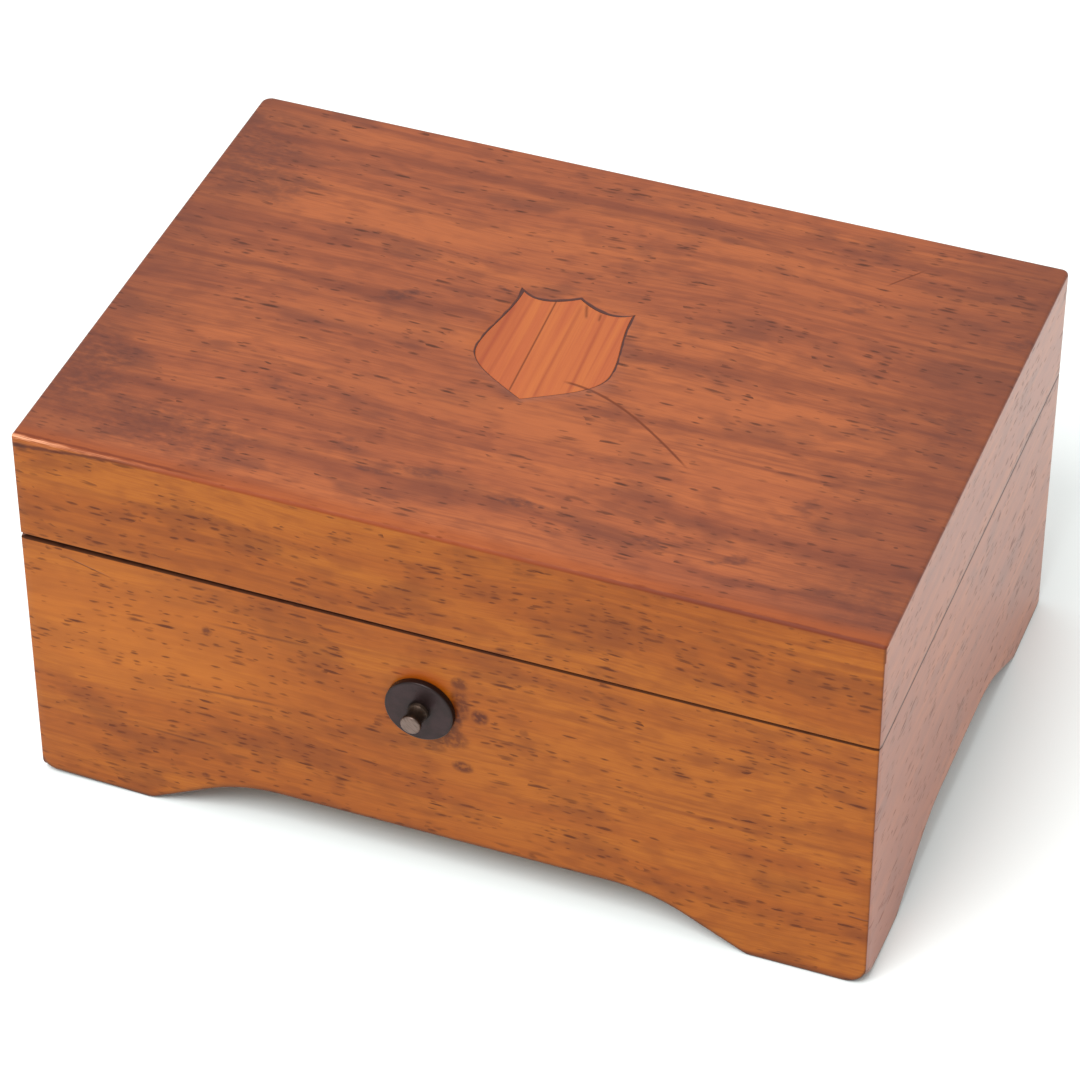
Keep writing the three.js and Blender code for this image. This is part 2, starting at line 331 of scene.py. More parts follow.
def stroke(finish, a, b, start, end, half_width, fade):
    """A straight soft line from start to end; it thins out over fade millimetres at each end."""
    run = math.hypot(end[0] - start[0], end[1] - start[1])
    ux, uy = (end[0] - start[0]) / run, (end[1] - start[1]) / run
    along = (a - start[0]) * ux + (b - start[1]) * uy
    off = abs((b - start[1]) * ux - (a - start[0]) * uy)
    ends = finish.ease(along, -fade, fade) * finish.ease(along, run + fade, run - fade)
    return finish.ease(off, half_width, 0.0) * ends


def marks(finish, a, b, places):
    """The strongest of several soft ellipses: a centre, a reach and a strength, or else 1."""
    most = 0.0
    for centre, reach, *strength in places:
        one = spot(finish, a, b, centre, reach, MARK_CORE) * (strength[0] if strength else 1.0)
        most = finish.most(one, most)
    return most


# %% [markdown]
# The top of the lid is the reddest wood. Slow dark bands cross it, the ends are duller, some
# patches glow lighter, and smoky smudges lie where the pores crowd. All of these are listed by
# their places on the real lid, in millimetres from its middle. One long thin scratch curves
# away from the shield.

# %% Finish of the lid's top
TOP_PAINTS = (paint(158, 84, 42), paint(144, 74, 39), paint(101, 46, 27), paint(80, 38, 28),
              paint(60, 21, 3))
TOP_LIGHT, TOP_DARK, SMOKE = TOP_PAINTS[0], TOP_PAINTS[2], TOP_PAINTS[3]
EDGE_SHADE_ORANGE = paint(126, 50, 0)
EDGE_RED_SHADE_AND_WEAR = paint(100, 34, 0)
EDGE_DARK = paint(56, 14, 2)
EDGE_PAINTED_HIGHLIGHT = paint(148, 67, 3)
UNDER_LINE = paint(84, 30, 0)
WORN_PEACH = paint(216, 150, 112)
WORN_TAN = paint(164, 88, 42)
SCRATCH_BROWN = paint(98, 38, 0)
FILLER = paint(72, 38, 32)
TOP_NICK = ((39.4, 31.0), (43.0, 35.8))
EDGE_HOLE = ((-61.2, -1.7), (1.4, 0.8))
SCRATCH_START = 4.2
SCRATCH_CURVE = (-6.1, -0.0093, -0.0357, 0.00052)
TOP_BANDS = (
    ((-61, 35), (24, 35.6), 2.2, 0.6), ((24, 38), (61, 36), 2, 0.4),
    ((-61, 3.9), (-11, 3.5), 2, 0.7), ((10, 3.4), (61, 6.6), 2.2, 0.6),
    ((9, -10.6), (61, -8.2), 2, 0.6), ((-61, -27.6), (-8, -26), 3.2, 0.45),
    ((-58, -34.6), (14, -34), 2.6, 0.5), ((16, -27), (61, -30), 2.4, 0.4),
    ((-61, 14), (-36, 13), 3, 0.4),
)
TOP_GLOWS = (
    ((-32, 20), (22, 3.2), 0.6), ((33, 26), (23, 7.5), 0.45), ((-24, -2.4), (28, 3.2), 0.7),
    ((-6, -16.5), (30, 3.6), 0.7), ((32, -3.2), (24, 3.6), 0.6), ((-57, -37), (5, 4.5), 0.5),
    ((32, -18), (20, 4), 0.4),
)
TOP_SMUDGES = (
    ((-51, 22), (5.5, 5.5), 0.5), ((-58, 30), (8, 13), 0.6), ((-44, -35), (18, 7), 0.5),
    ((-10.9, 11), (1.6, 1), 1), ((-25, 4.5), (3, 1.8), 0.9), ((27.5, -34.4), (2.2, 1.8), 0.8),
    ((37.5, -34.4), (2.6, 1.6), 0.7), ((7.8, -32.8), (4.5, 1.5), 0.9),
    ((-14.5, -33.6), (3.6, 1.1), 0.8), ((-7, -31.6), (5.5, 0.9), 0.7),
    ((47.5, -1), (2.2, 1.1), 0.8), ((37.5, 24.3), (1.8, 2.6), 0.5),
    ((42.6, -21), (1.8, 3.2), 0.5), ((-33.7, -20.6), (3, 1.6), 0.5), ((60, 24.3), (3, 2.4), 0.7),
    ((58, 3.7), (4, 5), 0.45), ((-18.5, -29.4), (1.8, 2.6), 0.5), ((57, -36), (8, 7), 0.4),
    ((-59, -26), (8, 13), 0.7),
)
TOP_CROWDS = (
    ((38, 13), (26, 6)), ((-36, 14), (14, 4)), ((0, -34), (60, 8)), ((-34, -4), (22, 5)),
    ((30, -5), (20, 6)), ((50, 36), (16, 7)),
)


def scratch(finish, x, across):
    """The long scratch. It runs where across = start + slope * run + bend * run ** 2
    + turn * run ** 3, with the run measured along the box from the scratch's own start."""
    start, slope, bend, turn = SCRATCH_CURVE
    run = x - SCRATCH_START
    line = run * slope + start + run ** 2 * bend + run ** 2 * run * turn
    off = abs(across - line)
    ends = finish.ease(x, 3.6, 5.4) * finish.ease(x, 27.0, 24.0)
    return finish.ease(off, 0.38, 0.08) * ends


def edge_wear_and_painted_light(finish, x, fold):
    """The lid's front upper edge. fold is the distance round the edge in millimetres, 0 on it,
    above 0 on the top and below 0 on the front. A dark line painted along it stands in for the
    shade of the rounded edge, and a painted highlight lies just above it on the top; at the left
    end it is rubbed off to pale wood between two dark lines that run together."""
    ragged = finish.noise(x, fold, (2.5, 0.6), 2.0, 0.65)
    wavy = fold + ragged * 0.5 - 0.25
    rubbed = finish.ease(x, -36.0, -52.0)
    red_end = finish.ease(x, 5.0, 40.0)
    # Painted highlight: a lighter orange band on the top just behind the rounded edge.
    glow = finish.ease(wavy, 3.6, 0.8) * finish.ease(fold, 0.0, 0.6)
    finish.coat(glow * 0.5, EDGE_PAINTED_HIGHLIGHT)
    reach = red_end * 0.1 + 0.2
    # Painted shade: a dark orange to red line on the rounded edge, standing in for its darker
    # reflection; it fades where the edge is rubbed.
    painted_edge_shade = finish.ease(wavy - reach, 0.25, -0.15) * finish.ease(fold, -0.7, -0.35)
    edge_shade_colour = finish.mix(red_end, EDGE_SHADE_ORANGE, EDGE_RED_SHADE_AND_WEAR)
    finish.coat(painted_edge_shade * (1 - rubbed * 0.6) * 0.9, edge_shade_colour)
    streak = finish.noise(x + 54.0, fold, (6, 0.25), 2.0, 0.7)
    low = finish.most(1.7 - (x + HALF_LENGTH_MM) * 0.09, 0.3)
    strip = finish.ease(wavy + low, 0.1, 0.5) * finish.ease(fold, 0.7, 0.1) * rubbed
    finish.coat(strip * finish.ease(streak, 0.38, 0.6) * 0.8, WORN_TAN)
    corner = finish.ease(x, -54.0, -59.0) * 0.75 + 0.25
    bare = finish.ease(streak, 0.4, 0.6) * finish.ease(abs(wavy), 0.6, 0.1)
    finish.coat(bare * rubbed * corner, WORN_PEACH)
    behind = finish.ease(abs(wavy - 0.75), 0.4, 0.05)
    finish.coat(behind * finish.ease(x, -28.0, -40.0) * 0.8, EDGE_RED_SHADE_AND_WEAR)
    under = finish.ease(abs(wavy + low), 0.5, 0.1)
    finish.coat(under * rubbed * 0.9, UNDER_LINE)
    hole = spot(finish, x, wavy, *EDGE_HOLE)
    finish.coat(hole * 0.6, EDGE_DARK)


def finish_lid_top():
    finish = Finish("lid_top_varnish", TOP_LIGHT)
    x, y, z = finish.place()
    across = y - CENTRE_Y_MM
    drift = finish.noise(x, across, (16, 2.2), 2.0, 0.65)
    loose_x = x + drift * 12.0 - 6.0
    loose_y = across + drift * 3.2 - 1.6
    crowd = marks(finish, loose_x, loose_y, TOP_CROWDS)
    relief, dash = wood(finish, x, across, z, TOP_PAINTS, crowd, 0.78)
    glow = marks(finish, loose_x, loose_y, TOP_GLOWS)
    finish.coat(glow * finish.ease(drift, 0.75, 0.35) * (1 - dash), TOP_LIGHT)
    ends = finish.ease(abs(loose_x + 2.0), 38.0, 64.0)
    finish.coat(ends * 0.45, SMOKE)
    for start, end, half, strength in TOP_BANDS:
        band = stroke(finish, loose_x, loose_y, start, end, half, 6.0)
        finish.coat(band * strength, TOP_DARK)
    speck = finish.noise(x, across, (1.6, 0.9), 2.0, 0.6)
    smudge = marks(finish, loose_x, loose_y, TOP_SMUDGES) * finish.ease(speck, 0.15, 0.75)
    finish.coat(smudge * 0.9, SMOKE)
    fold = across + HALF_DEPTH_MM - (TOP_MM - z)
    edge_wear_and_painted_light(finish, x, fold)
    line = scratch(finish, x, across)
    nick = stroke(finish, x, across, *TOP_NICK, 0.22, 0.8)
    cut = finish.most(line, nick)
    finish.coat(cut * 0.95, SCRATCH_BROWN)
    filler = finish.kept("filler")
    finish.coat(filler, FILLER)
    rough = dash * 0.2 + filler * 0.3 + finish.ease(fold, 0.9, 0.4) * 0.3 + 0.36
    return finish.surface(rough, relief - cut * 0.25, shine=0.35)


lid_top_varnish = finish_lid_top()

# %% [markdown]
# The front and back show the same wood, yellower than the top, with the grain along the box.
# The front alone carries the marks that the picture shows: crowds of pores, thin dark streaks, a
# lighter glow on the left, brown stains round the disc, an orange halo over it, a dark crack by
# the seam, a nick at the right foot and the worn edge under the lid's top, with a painted dark
# line of shade along that edge. Front and back both carry painted shade in the joint under the
# lid and along the sole.

# %% Finish of the front and back
FRONT_PAINTS = (paint(158, 86, 14), paint(147, 75, 9), paint(114, 51, 3), paint(98, 42, 4),
                paint(74, 27, 0))
FRONT_PORE = FRONT_PAINTS[4]
STAIN = paint(80, 30, 2)
FRONT_GLOW = paint(184, 104, 24)
SEAM_SHADE = paint(34, 9, 3)
HALO = paint(140, 60, 4)
GLOW_PLACE = ((-46, 31), (34, 16))
HALO_PLACE = ((-2.4, 36.2), (5.2, 2.2))
CRACK = ((-55.5, 42.2), (-49.5, 40.6))
TOE_NICK = ((59.5, 12.6), (62.4, 12.4))
FRONT_CROWDS = (
    ((-37, 32), (26, 13)), ((22, 52), (42, 9)), ((-40, 52), (24, 5)), ((-20, 12), (46, 9)),
)
FRONT_STREAKS = (
    ((-46, 13.7), (-34.6, 13.5)), ((-40, 23.4), (-25, 24.4)), ((-33, 36.6), (-20, 36.9)),
    ((5.5, 28.6), (14.5, 28.4)),
)
STAINS = (
    ((3, 37), (1.6, 1.5), 0.8), ((5.9, 31.8), (1.6, 1.6), 1), ((2.9, 33), (1.9, 3.6), 0.85),
    ((2.2, 30.8), (1.5, 3.4), 1), ((1.4, 26.6), (3.6, 2.4), 0.75),
    ((1.8, 27.4), (2.4, 1.8), 0.75), ((-0.6, 24.4), (2, 1.4), 0.5), ((3.3, 21.8), (2, 1.3), 0.9),
    ((12.3, 31), (0.9, 0.9), 0.4), ((-34.6, 35), (1, 1.1), 0.8), ((-36.2, 7.4), (0.8, 0.6), 0.7),
)


def seam_shade_coat(finish, run, z, wide, narrow, tint, sole):
    """Coats the joint under the lid with painted shade, wide at one end of the run and narrow
    beyond, and paints a share of it along the sole as well. Gives the painted shade of the joint."""
    half = finish.ease(run, 20.0, -62.0) * (wide - narrow) / 2 + narrow / 2
    off = abs(z - RIM_Z / MM - half + 0.25)
    seam_shade = finish.ease(off - half, 0.12, -0.06)
    finish.coat(seam_shade * 0.9, tint)
    # Painted shade along the sole, where the mesh marks it.
    finish.coat(finish.kept("sole") * sole, tint)
    return seam_shade


def finish_long_side(name, marked):
    finish = Finish(name, FRONT_PAINTS[0])
    x, y, z = finish.place()
    grain = x if marked else x + 60.0
    crowd = marks(finish, x, z, FRONT_CROWDS) if marked else 0.0
    relief, dash = wood(finish, grain, z, y, FRONT_PAINTS, crowd, 1.25)
    if marked:
        glow = spot(finish, x, z, *GLOW_PLACE)
        finish.coat(glow * (1 - dash) * 0.36, FRONT_GLOW)
        for start, end in FRONT_STREAKS:
            streak = stroke(finish, x, z, start, end, 0.35, 3.0)
            finish.coat(streak * 0.55, FRONT_PORE)
        cloud = finish.noise(x, z, (1.2, 1.2), 2.0, 0.6)
        halo = spot(finish, x, z, *HALO_PLACE)
        finish.coat(halo * 0.8, HALO)
        stain = marks(finish, x, z, STAINS) * (finish.ease(cloud, 0.3, 0.6) * 0.6 + 0.4)
        finish.coat(stain, STAIN)
        crack = stroke(finish, x, z, *CRACK, 0.22, 2.0)
        nick = stroke(finish, x, z, *TOE_NICK, 0.25, 0.4)
        line = finish.most(crack, nick)
        finish.coat(line * 0.7, FRONT_PORE)
        relief = relief - line * 0.6
        edge_wear_and_painted_light(finish, x, z - TOP_MM)
        arris = finish.ease(x, HALF_LENGTH_MM - 0.5, HALF_LENGTH_MM - 0.1)
        finish.coat(arris * 0.5, EDGE_DARK)
    # Painted shade in the joint under the lid and along the sole.
    seam_shade = seam_shade_coat(finish, x, z, 0.85 if marked else 0.4, 0.24, SEAM_SHADE, 0.8)
    rough = dash * 0.2 + seam_shade * 0.5 + 0.38
    return finish.surface(rough, relief, shine=0.22)


front_varnish = finish_long_side("front_varnish", True)
back_varnish = finish_long_side("back_varnish", False)

# %% [markdown]
# The two ends are the same wood again with the grain running from front to back. Seen nearly
# edge on, their varnish mirrors the pale table, which is why the right end looks so light. Their
# lower front is painted warmer and darker, a painted shade for the shaded table mirrored there,
# and painted shade lies in the joint under the lid and along the sole.

# %% Finish of the ends
END_PAINTS = (paint(176, 96, 50), paint(162, 86, 48), paint(138, 70, 40), paint(112, 58, 40),
              paint(98, 40, 16))
END_SEAM_SHADE = paint(98, 48, 18)
END_PAINTED_SHADE = paint(140, 60, 16)
END_SHADE_PLACE = ((-40, 4), (44, 44))


def finish_end():
    finish = Finish("end_varnish", END_PAINTS[0])
    x, y, z = finish.place()
    relief, dash = wood(finish, y + 25.0, z, x, END_PAINTS, 0.1, 1.1)
    # Painted shade: the lower front of the end is coated warmer and darker, standing in for the
    # shaded table that it mirrors there.
    mirrored_shade = spot(finish, y, z, *END_SHADE_PLACE)
    finish.coat(mirrored_shade * 0.4, END_PAINTED_SHADE)
    arris = finish.ease(y, FRONT / MM + 0.4, FRONT / MM + 0.1)
    finish.coat(arris * 0.6, EDGE_DARK)
    # Painted shade in the joint under the lid and along the sole.
    seam_shade_coat(finish, y, z, 0.7, 0.7, END_SEAM_SHADE, 0.7)
    return finish.surface(dash * 0.2 + 0.34, relief * 0.3,
                          **{"Coat Weight": 0.12, "Coat Roughness": 0.25})


end_varnish = finish_end()

# %% [markdown]
# The shield is a paler veneer whose straight grain runs from back to front, with a few thin
# reddish lines and one dark split.

# %% Finish of the shield
SHIELD_LIGHT = paint(172, 92, 42)
SHIELD_GROUND = paint(164, 82, 40)
SHIELD_LINE = paint(124, 40, 20)
SHIELD_SPLIT = ((-3.1, 11.0), (-2.0, -10.6))
SHIELD_TEAR = ((1.3, 11.4), (2.2, 8.7))
SHIELD_TICK = ((3.9, 10.2), (4.1, 8.6))
SHIELD_LINES = (
    ((-8.3, 8), (-8, -8), 0.7), ((-6.4, 11), (-6, -9), 0.5), ((0.7, 11), (1.7, -11), 0.5),
    ((4.4, 11), (5.8, -8), 0.5),
)


def finish_shield():
    finish = Finish("shield_varnish", SHIELD_LIGHT)
    x, y, z = finish.place()
    across = x - SHIELD_X / MM
    run = y - CENTRE_Y_MM
    leaning = across + run * 0.05
    broad = finish.noise(leaning, run, (2.6, 60))
    rings = finish.noise(leaning + 3.2, run, (0.8, 80), 2.0, 0.6)
    fibre = finish.noise(leaning, run, (0.2, 8), 3.0)
    finish.coat(finish.ease(broad, 0.35, 0.65), SHIELD_GROUND)
    finish.coat(finish.ease(rings, 0.45, 0.85) * 0.3, SHIELD_LINE)
    finish.coat(finish.ease(fibre, 0.4, 0.7) * 0.1, SHIELD_LINE)
    for start, end, half in SHIELD_LINES:
        line = stroke(finish, across, run, start, end, half, 1.0)
        finish.coat(line * 0.35, SHIELD_LINE)
    red_side = finish.ease(across, -5.5, -9.5)
    finish.coat(red_side * 0.4, SHIELD_LINE)
    split = stroke(finish, across, run, *SHIELD_SPLIT, 0.24, 0.3)
    tear = finish.most(stroke(finish, across, run, *SHIELD_TEAR, 0.4, 0.5),
                       stroke(finish, across, run, *SHIELD_TICK, 0.35, 0.4))
    line = scratch(finish, x, run)
    mark = finish.most(finish.most(split, tear * 0.8), line)
    finish.coat(mark * 0.85, SCRATCH_BROWN)
    relief = fibre * 0.1 - mark * 0.7
    return finish.surface(mark * 0.2 + 0.36, relief, shine=0.35)


shield_varnish = finish_shield()

# %% [markdown]
# The disc is dark, dull brass or steel with a smoky brown skin, and painted shade darkens it round
# the stem and along its rim. The stem is worn steel: dark at the neck and bare and grey on its end.

# %% Finish of the metal
DISC_SKIN = paint(50, 33, 34)
DISC_DIRT_AND_SHADE = paint(28, 19, 16)
STEEL_BARE = paint(118, 100, 92)
STEEL_DARK = paint(62, 48, 38)


def finish_disc():
    finish = Finish("disc_metal", DISC_SKIN)
    x, y, z = finish.place()
    cloud = finish.noise(x, z, (2.2, 2.2), 3.0, 0.6)
    grit = finish.noise(x, z, (0.25, 0.25))
    away = ((x - STEM_X / MM) ** 2 + (z - STEM_Z / MM) ** 2) ** 0.5
    # Painted shade: darker round the stem and along the rim.
    hub_shade = finish.ease(away, 2.6, 1.5)
    rim = finish.ease(away, DISC_RADIUS / MM - 0.5, DISC_RADIUS / MM)
    finish.coat(finish.ease(cloud, 0.35, 0.7) * 0.5, DISC_DIRT_AND_SHADE)
    # The cloud is dirt; the coats round the stem and at the rim are painted shade.
    finish.coat(hub_shade * 0.6, DISC_DIRT_AND_SHADE)
    finish.coat(rim * 0.7, DISC_DIRT_AND_SHADE)
    rough = cloud * 0.14 + 0.28
    return finish.surface(rough, grit * 0.4 + cloud * 0.4, 0.02, Metallic=0.6)


def finish_stem():
    finish = Finish("stem_steel", STEEL_DARK)
    x, y, z = finish.place()
    out = FRONT / MM - y
    bare = finish.ease(out, STEM_TIP / MM - 0.35, STEM_TIP / MM - 0.02)
    streak = finish.noise(x + z, y + z * 1.5, (0.3, 1.5), 3.0)
    finish.coat(finish.ease(streak, 0.35, 0.65) * 0.5, DISC_DIRT_AND_SHADE)
    finish.coat(bare, STEEL_BARE)
    finish.coat(finish.ease(streak, 0.45, 0.7) * 0.4, STEEL_DARK)
    return finish.surface(0.42 - bare * 0.05, streak, 0.03, Metallic=0.8)


disc_metal = finish_disc()
stem_steel = finish_stem()

# %% [markdown]
# The floor of the box is bare wood that was never varnished, seen only from below.

# %% Finish of the bare floor
BARE_PAINTS = (paint(190, 154, 112), paint(172, 134, 92), paint(134, 98, 64), paint(116, 88, 64),
               paint(90, 62, 42))


def finish_floor_board():
    finish = Finish("bare_floor_board", BARE_PAINTS[0])
    x, y, z = finish.place()
    relief, dash = wood(finish, x + 200.0, y, z, BARE_PAINTS, 0.0, 0.6)
    return finish.surface(dash * 0.1 + 0.7, relief, 0.08)


bare_floor_board = finish_floor_board()

# %% [markdown]
# Shapes are surfaces of two parameters, worked out as whole arrays. A stack of rings, each with
# the same number of points, becomes a closed mesh: neighbouring rings are joined by quads, and
# the first and the last ring are closed by one face each.

# %% Meshes from rings
WOOD_SMOOTH = 40


def ring_mesh(name, rings, materials, material_of=None, smooth_angle=WOOD_SMOOTH):
    """Joins rings, an array of ring, point and xyz, by quads and closes both ends with a face.
    Edges that turn by more than smooth_angle degrees stay sharp."""
    count, points, _ = rings.shape
    index = np.arange(count * points).reshape(count, points)
    beside = np.roll(index, -1, axis=1)
    quads = np.stack([index[:-1], beside[:-1], beside[1:], index[1:]], axis=-1)
    faces = [*quads.reshape(-1, 4).tolist(), index[0, ::-1].tolist(), index[-1].tolist()]
    mesh = bpy.data.meshes.new(name)
    mesh.from_pydata(rings.reshape(-1, 3).tolist(), [], faces)
    body = bmesh.new()
    body.from_mesh(mesh)
    if body.calc_volume(signed=True) < 0:
        bmesh.ops.reverse_faces(body, faces=body.faces[:])
    body.to_mesh(mesh)
    body.free()
    mesh.polygons.foreach_set("use_smooth", np.ones(len(mesh.polygons), bool))
    mesh.set_sharp_from_angle(angle=math.radians(smooth_angle))
    for material in materials:
        mesh.materials.append(material)
    if material_of is not None:
        slots = np.concatenate([material_of.reshape(-1), [material_of[0, 0], material_of[-1, 0]]])
        mesh.polygons.foreach_set("material_index", slots.astype(np.int32))
    piece = added(name, mesh)
    print(name, len(mesh.vertices), "points")
    return piece


def mark_points(piece, name, values):
    """Keeps one value per point in the mesh, for the piece's finish to read."""
    mark = piece.data.attributes.new(name, "FLOAT", "POINT")
    mark.data.foreach_set("value", values.reshape(-1))


def dress(piece, name):
    """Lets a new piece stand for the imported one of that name, fixed to the box."""
    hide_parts(name)
    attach(piece, "root")


def arc(count):
    """Quarter turn from 0 to 90 degrees in count steps."""
    return np.linspace(0, math.pi / 2, count + 1)


# %% [markdown]
# A board is one such surface. Its section is a loop in depth and height: the sole, the outer
# face, the rim and the inner face, with a rounded edge at each outer corner. The loop is carried
# along the board, its lower edge follows the sawn arch, and each line of the section stops at
# the 45 degree mitre, where the next board begins. The rings lie closer together near the ends.
# The two back corners of the box are rounder than the front ones.

# %% The section of a board
INNER_ROUND = 0.25 * MM
END_ZONE = 4.0 * MM
END_RINGS = 12
RUN_RINGS = 240
HALVINGS = 40
HALVES = (HALF_LENGTH, HALF_DEPTH, HALF_LENGTH, HALF_DEPTH)
FRONT_CORNER = 0.5 * MM
BACK_RIGHT_CORNER = 1.1 * MM
BACK_LEFT_CORNER = 1.6 * MM
CORNERS = ((FRONT_CORNER, FRONT_CORNER), (FRONT_CORNER, BACK_RIGHT_CORNER),
           (BACK_RIGHT_CORNER, BACK_LEFT_CORNER), (BACK_LEFT_CORNER, FRONT_CORNER))
FACE_SHARES = (0.015, 0.06, 0.14, 0.3, 0.5, 0.7, 0.86, 0.94, 0.98)


def section_loop():
    """Rows of the section. Depth is share * thickness + low * round + high * round + inner * round,
    and height is the same kind of sum between the lower and the upper edge."""
    rows = []
    for turn in arc(5):
        rows.append((0, 1 - math.sin(turn), 0, 0, 0, 1 - math.cos(turn), 0, 0))
    for share in FACE_SHARES:
        rows.append((0, 0, 0, 0, share, 1 - share, -share, 0))
    for turn in arc(5):
        rows.append((0, 0, 1 - math.cos(turn), 0, 1, 0, math.sin(turn) - 1, 0))
    for turn in arc(2):
        rows.append((1, 0, 0, math.sin(turn) - 1, 1, 0, 0, math.cos(turn) - 1))
    for turn in arc(2):
        rows.append((1, 0, 0, math.cos(turn) - 1, 0, 0, 0, 1 - math.sin(turn)))
    return np.array(rows, float).T[:, None, :]


def corner_fall(run, half, radius):
    """How far a face stands back near a rounded corner, at a distance run from its middle:
    radius - sqrt(radius ** 2 - into ** 2), where into is the way past the corner's start."""
    into = np.clip(np.abs(run) - (half - radius), 0, radius)
    return radius - np.sqrt(radius ** 2 - into ** 2)


def board_rings(quarter, low, high, low_round, high_round):
    """Rings of a board on the front, right, back or left side, 0 to 3 quarter turns. Each line
    stops where run + depth = half, which is found by halving, and the outer face falls back
    round the corners' radii."""
    half, reach = HALVES[quarter], HALVES[quarter - 1]
    share, d_low, d_high, d_in, h, z_low, z_high, z_in = section_loop()
    ends = 1 - (1 - np.linspace(0, 1, END_RINGS)) ** 2
    inner = 1 - END_ZONE / half
    steps = np.concatenate([-1 + ends * (1 - inner), np.linspace(-inner, inner, RUN_RINGS)[1:-1],
                            (1 - ends * (1 - inner))[::-1]])[:, None]
    depth = share * BOARD + d_low * low_round(steps * half) + d_high * high_round(steps * half)
    depth = depth + d_in * INNER_ROUND
    corner = np.where(steps < 0, *CORNERS[quarter])
    near, far = np.zeros_like(depth), np.full_like(depth, half)
    for _ in range(HALVINGS):
        middle = (near + far) / 2
        over = middle + depth + corner_fall(middle, half, corner) * (1 - depth / BOARD) > half
        near, far = np.where(over, near, middle), np.where(over, middle, far)
    run = steps * near
    depth = depth + corner_fall(run, half, corner) * (1 - depth / BOARD)
    below, above = low(run), high(run)
    height = (below + (above - below) * h + z_low * low_round(run) + z_high * high_round(run)
              + z_in * INNER_ROUND)
    x, y = run, depth - reach
    for _ in range(quarter):
        x, y = -y, x
    return np.stack([x, y + CENTRE_Y, height], axis=-1)


# %% [markdown]
# The sawn edge rises from the toe of each foot over a small round, up a straight slope and into
# a hollow shoulder. The outer corners of the feet are worn round, more on the right than on the
# left, and the sole lifts a little towards the left front corner.

# %% The sawn lower edge
ARCH_RISE = 7.2 * MM
FRONT_FOOT = 16.7 * MM
SIDE_FOOT = 13.7 * MM
TOE_ROUND = 3 * MM
SHOULDER_ROUND = 25 * MM
ARCH_SLOPE = math.radians(26.6)


def arch(inside):
    """Height of the edge at a distance inside the toe: round, slope and hollow shoulder in turn."""
    toe_run, toe_rise = TOE_ROUND * math.sin(ARCH_SLOPE), TOE_ROUND * (1 - math.cos(ARCH_SLOPE))
    shoulder_run = SHOULDER_ROUND * math.sin(ARCH_SLOPE)
    shoulder_rise = SHOULDER_ROUND * (1 - math.cos(ARCH_SLOPE))
    slope_run = (ARCH_RISE - toe_rise - shoulder_rise) / math.tan(ARCH_SLOPE)
    run = np.clip(inside, 0, toe_run + slope_run + shoulder_run)
    left = toe_run + slope_run + shoulder_run - run
    toe = TOE_ROUND - np.sqrt(TOE_ROUND ** 2 - np.clip(run, 0, toe_run) ** 2)
    slope = toe_rise + (run - toe_run) * math.tan(ARCH_SLOPE)
    shoulder = ARCH_RISE - SHOULDER_ROUND + np.sqrt(
        SHOULDER_ROUND ** 2 - np.clip(left, 0, shoulder_run) ** 2)
    return np.where(run < toe_run, toe, np.where(left < shoulder_run, shoulder, slope))


def lower_edge(half, foot, start_round, end_round, start_lift=0.0):
    """The edge with its two worn corners; start is the end where the run is negative."""
    def height(run):
        radius = np.where(run < 0, start_round, end_round)
        lift = start_lift * np.clip((-run - (half - foot)) / foot, 0, 1)
        return arch(half - foot - np.abs(run)) + lift + corner_fall(run, half, radius)
    return height


def steady(value):
    """A height or radius that is the same all along a board."""
    return lambda run: np.full_like(run, value)


# %% [markdown]
# The lid doesn't close quite flat. Along the front the dark gap at the seam is widest at the left
# and thins towards the right, so the lower edge of the lid rises by half a millimetre at the left
# front corner.

# %% Body and lid boards
SEAM_ROUND = 0.12 * MM
SEAM_GAP = 0.03 * MM
SOLE_ROUND = 0.4 * MM
SOLE_WEAR = 1.2 * MM
SOLE_WEAR_REACH = 6 * MM
SOLE_LIFT = 0.6 * MM
LEFT_WEAR = 2.3 * MM
RIGHT_WEAR = 3.4 * MM
BACK_WEAR = 2.0 * MM
LID_LIFT = 0.5 * MM


def worn_sole(half, wear):
    """The round under the outer face, larger near the worn end where the run is negative."""
    return lambda run: SOLE_ROUND + wear * np.exp(-(run + half) / SOLE_WEAR_REACH)


def body_board(name, quarter, low, low_round, material):
    """A board of the body, whose sole is marked so that the finish can paint shade along it."""
    rings = board_rings(quarter, low, steady(RIM_Z - SEAM_GAP), low_round, steady(SEAM_ROUND))
    piece = ring_mesh(name, rings, [material])
    sole = np.zeros(rings.shape[:2])
    sole[:, :5] = 1.0
    sole[:, 5] = 0.6
    mark_points(piece, "sole", sole)
    dress(piece, name)


def lid_board(name, quarter, lift, material):
    """A board of the lid's frame, whose lower edge is raised by lift along its run."""
    rings = board_rings(quarter, lambda run: LID_Z + lift(run), steady(PANEL_UNDERSIDE),
                        steady(SEAM_ROUND), steady(0.0))
    dress(ring_mesh(name, rings, [material]), name)


def lid_lift(half, side):
    """LID_LIFT * (0.05 + 0.95 * ahead ** 2), where ahead is the share of the board that lies
    between a point and the end where side * run is largest."""
    return lambda run: LID_LIFT * (
        0.05 + 0.95 * np.clip((half - side * run) / (2 * half), 0, 1) ** 2)


